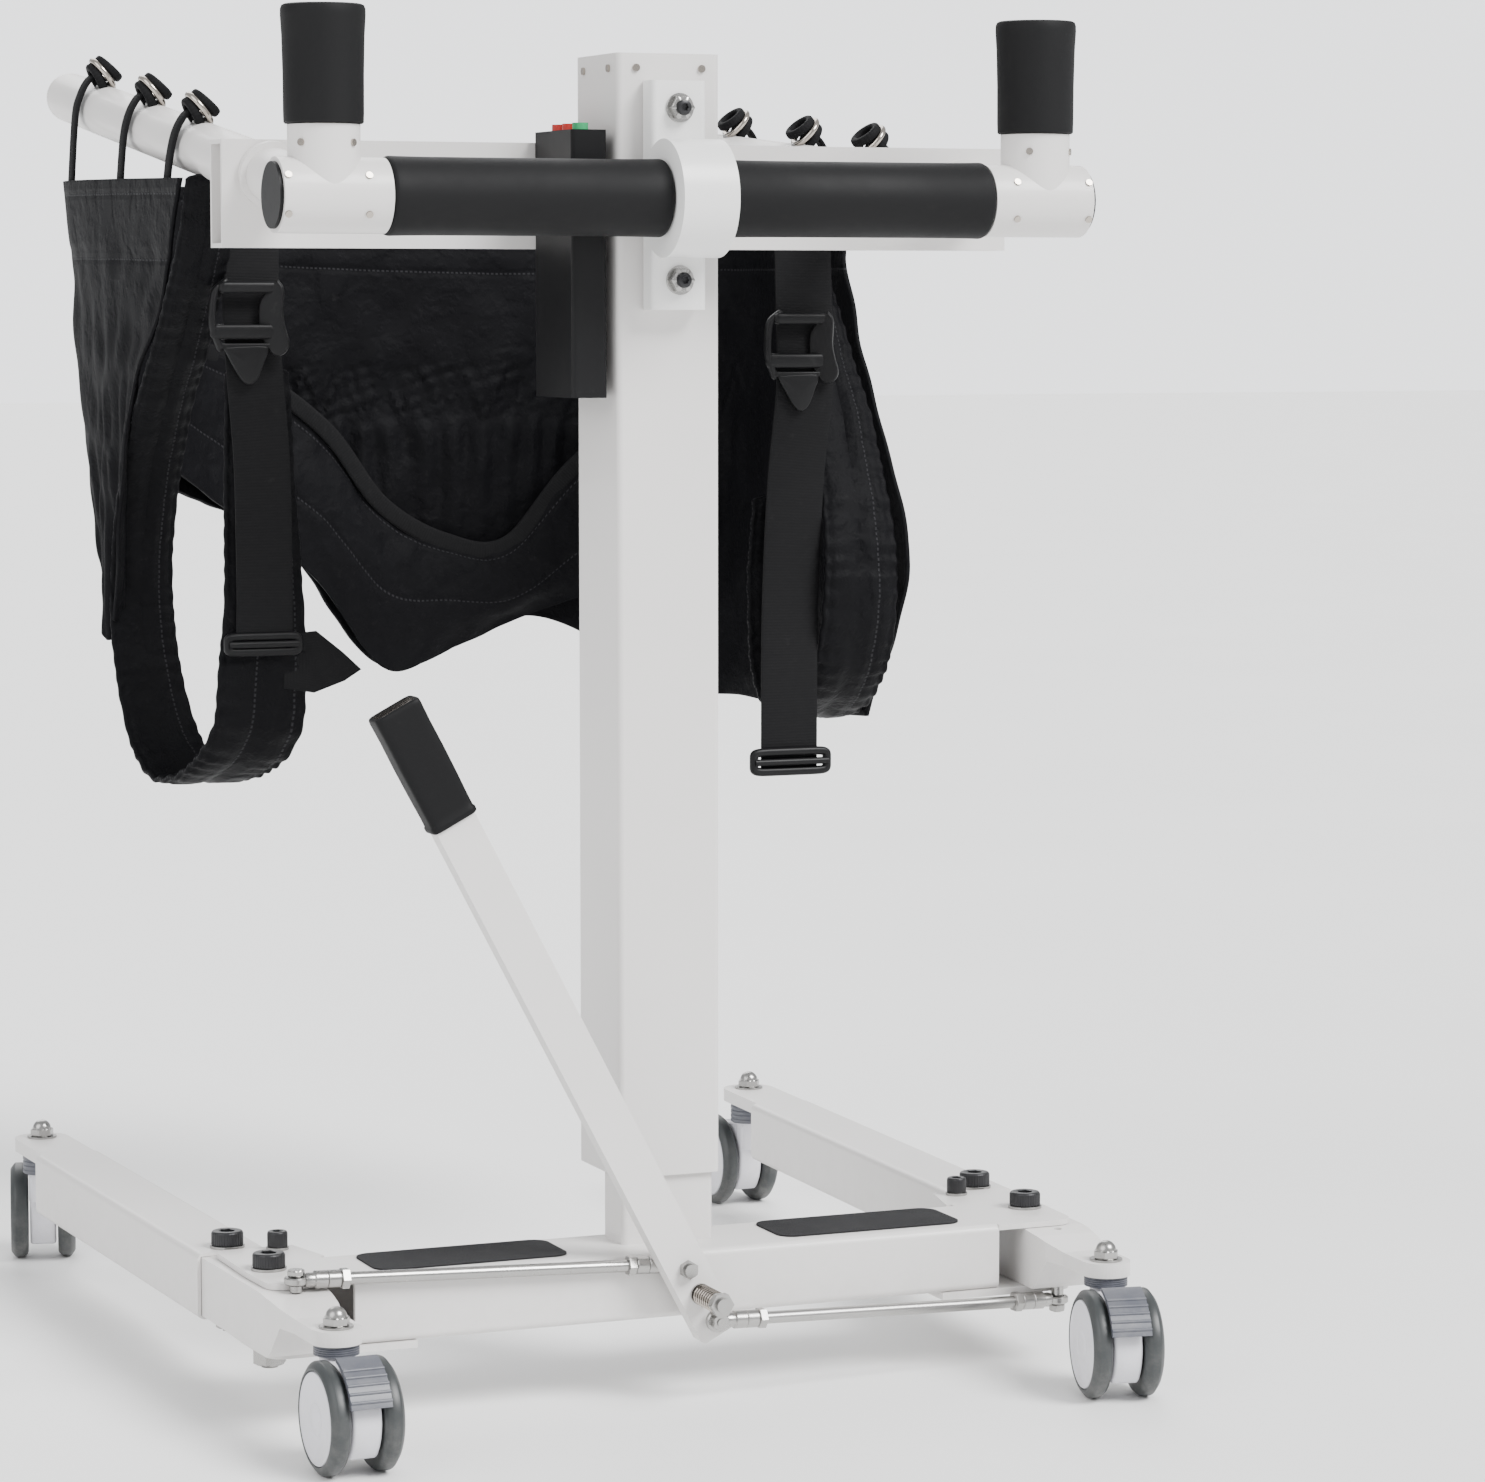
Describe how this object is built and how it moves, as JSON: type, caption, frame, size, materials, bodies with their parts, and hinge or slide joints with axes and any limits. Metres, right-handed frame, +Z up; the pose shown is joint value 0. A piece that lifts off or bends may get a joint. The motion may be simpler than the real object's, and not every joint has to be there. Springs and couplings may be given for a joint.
{
  "type": "sit to stand lift",
  "caption": "Wheeled sit to stand lift with a lifting mast, padded hand bar, upright grips, black sling and a lever that spreads the castor legs.",
  "frame": {"origin": "on the floor under the middle of the lift's box", "axes": "+Z up; +Y from the hand bar towards the person being lifted; +X to the right seen along +Y"},
  "size_m": [0.6548, 0.8383, 0.95],
  "materials": {
    "coat": "satin",
    "moulded_white": "satin",
    "foam": "matte",
    "rubber_black": "matte",
    "grit": "rough",
    "black_plastic": "satin",
    "steel_bright": "bright",
    "steel_black": "satin",
    "nickel": "bright",
    "zinc": "satin",
    "nylon_black": "sheen",
    "webbing_black": "matte",
    "tyre_grey": "satin",
    "castor_white": "satin",
    "pedal_slate": "satin",
    "button_green": "gloss",
    "button_red": "gloss",
    "nylon_ivory": "satin",
    "motor_grey": "satin"
  },
  "bodies": {
    "base": {"base_beam": "coat", "end_plates": "coat", "mast_post": "coat", "post_glides": "nylon_ivory", "foot_grips": "grit", "actuator_rod": "steel_bright", "base_bolts": "steel_black", "lever_pivot": "zinc", "lever_spring": "steel_bright"},
    "lift_head": {"mast_sleeve": "coat", "mast_cap": "coat", "cap_screws": "nickel", "actuator_tube": "motor_grey", "actuator_motor": "motor_grey", "saddle_clamp": "moulded_white", "clamp_bolts": "zinc", "hand_bar_tube": "steel_bright", "hand_bar_foam": "foam", "corner_fittings": "coat", "fitting_screws": "nickel", "bar_end_caps": "black_plastic", "grip_tubes": "steel_bright", "grip_foam": "foam", "cross_beam": "coat", "sling_arm_left": "coat", "sling_arm_right": "coat", "sling_hooks": "nickel", "control_box": "black_plastic", "sling_back": "nylon_black", "sling_wing_left": "nylon_black", "sling_wing_right": "nylon_black", "thigh_strap_left": "nylon_black", "thigh_strap_right": "nylon_black", "webbing_straps": "webbing_black", "strap_buckles": "black_plastic"},
    "up_button": {"up_button": "button_green"},
    "down_button": {"down_button": "button_red"},
    "stop_button": {"stop_button": "button_red"},
    "lever": {"lever_bar": "coat", "lever_grip": "rubber_black", "lever_studs": "zinc"},
    "tie_rod_left": {"tie_rod_left": "zinc"},
    "tie_rod_right": {"tie_rod_right": "zinc"},
    "leg_left": {"leg_arm_left": "coat", "leg_tube_left": "coat", "leg_bolts_left": "nickel"},
    "leg_right": {"leg_arm_right": "coat", "leg_tube_right": "coat", "leg_bolts_right": "nickel"},
    "castor_front_left": {"castor_front_left": "castor_white"},
    "wheels_front_left": {"wheels_front_left": "tyre_grey"},
    "brake_pedal_left": {"brake_pedal_left": "pedal_slate"},
    "castor_front_right": {"castor_front_right": "castor_white"},
    "wheels_front_right": {"wheels_front_right": "tyre_grey"},
    "brake_pedal_right": {"brake_pedal_right": "pedal_slate"},
    "castor_rear_left": {"castor_rear_left": "castor_white"},
    "wheels_rear_left": {"wheels_rear_left": "tyre_grey"},
    "castor_rear_right": {"castor_rear_right": "castor_white"},
    "wheels_rear_right": {"wheels_rear_right": "tyre_grey"}
  },
  "joints": [
    {"name": "lift_slide", "type": "slide", "parent": "base", "child": "lift_head", "axis": [0, 0, 1], "range_m": [0, 0.38]},
    {"name": "lever_swing", "type": "hinge", "parent": "base", "child": "lever", "pos_m": [0, -0.279, 0.077], "axis": [0, 1, 0], "range_deg": [0, 27.8]},
    {"name": "rod_left_turn", "type": "hinge", "parent": "lever", "child": "tie_rod_left", "pos_m": [-0.00951, -0.266, 0.09505], "axis": [0, 1, 0], "range_deg": [-29, 0]},
    {"name": "rod_right_turn", "type": "hinge", "parent": "lever", "child": "tie_rod_right", "pos_m": [0.00951, -0.2935, 0.05896], "axis": [0, 1, 0], "range_deg": [-29, 0]},
    {"name": "leg_left_swing", "type": "hinge", "parent": "base", "child": "leg_left", "pos_m": [-0.285, -0.209, 0.077], "axis": [0, 0, 1], "range_deg": [0, 9.5]},
    {"name": "leg_right_swing", "type": "hinge", "parent": "base", "child": "leg_right", "pos_m": [0.285, -0.209, 0.077], "axis": [0, 0, 1], "range_deg": [-9.5, 0]},
    {"name": "up_press", "type": "slide", "parent": "lift_head", "child": "up_button", "axis": [0, 0, -1], "range_m": [0, 0.003], "stiffness_N_per_m": 300, "springref_m": -0.001},
    {"name": "down_press", "type": "slide", "parent": "lift_head", "child": "down_button", "axis": [0, 0, -1], "range_m": [0, 0.003], "stiffness_N_per_m": 300, "springref_m": -0.001},
    {"name": "stop_press", "type": "slide", "parent": "lift_head", "child": "stop_button", "axis": [0, 0, -1], "range_m": [0, 0.003], "stiffness_N_per_m": 300, "springref_m": -0.001},
    {"name": "swivel_front_left", "type": "hinge", "parent": "leg_left", "child": "castor_front_left", "pos_m": [-0.28091, -0.34694, 0.06], "axis": [0, 0, 1], "continuous": true},
    {"name": "roll_front_left", "type": "hinge", "parent": "castor_front_left", "child": "wheels_front_left", "pos_m": [-0.27993, -0.37492, 0.0375], "axis": [0.9994, 0.0349, 0], "continuous": true},
    {"name": "brake_left", "type": "hinge", "parent": "castor_front_left", "child": "brake_pedal_left", "pos_m": [-0.27993, -0.37492, 0.0375], "axis": [0.9994, 0.0349, 0], "range_deg": [0, 12]},
    {"name": "swivel_front_right", "type": "hinge", "parent": "leg_right", "child": "castor_front_right", "pos_m": [0.28091, -0.34694, 0.06], "axis": [0, 0, 1], "continuous": true},
    {"name": "roll_front_right", "type": "hinge", "parent": "castor_front_right", "child": "wheels_front_right", "pos_m": [0.27556, -0.37443, 0.0375], "axis": [0.9816, -0.1908, 0], "continuous": true},
    {"name": "brake_right", "type": "hinge", "parent": "castor_front_right", "child": "brake_pedal_right", "pos_m": [0.27556, -0.37443, 0.0375], "axis": [0.9816, -0.1908, 0], "range_deg": [0, 12]},
    {"name": "swivel_rear_left", "type": "hinge", "parent": "leg_left", "child": "castor_rear_left", "pos_m": [-0.30167, 0.35275, 0.06], "axis": [0, 0, 1], "continuous": true},
    {"name": "roll_rear_left", "type": "hinge", "parent": "castor_rear_left", "child": "wheels_rear_left", "pos_m": [-0.2949, 0.37992, 0.0375], "axis": [-0.9703, 0.2419, 0], "continuous": true},
    {"name": "swivel_rear_right", "type": "hinge", "parent": "leg_right", "child": "castor_rear_right", "pos_m": [0.30167, 0.35275, 0.06], "axis": [0, 0, 1], "continuous": true},
    {"name": "roll_rear_right", "type": "hinge", "parent": "castor_rear_right", "child": "wheels_rear_right", "pos_m": [0.30069, 0.38074, 0.0375], "axis": [-0.9994, -0.0349, 0], "continuous": true}
  ],
  "couplings": [
    {"joint": "rod_left_turn", "follows": "lever_swing", "ratio": -1.0207},
    {"joint": "rod_right_turn", "follows": "lever_swing", "ratio": -1.0207},
    {"joint": "leg_left_swing", "follows": "lever_swing", "ratio": 0.336},
    {"joint": "leg_right_swing", "follows": "lever_swing", "ratio": -0.335}
  ]
}
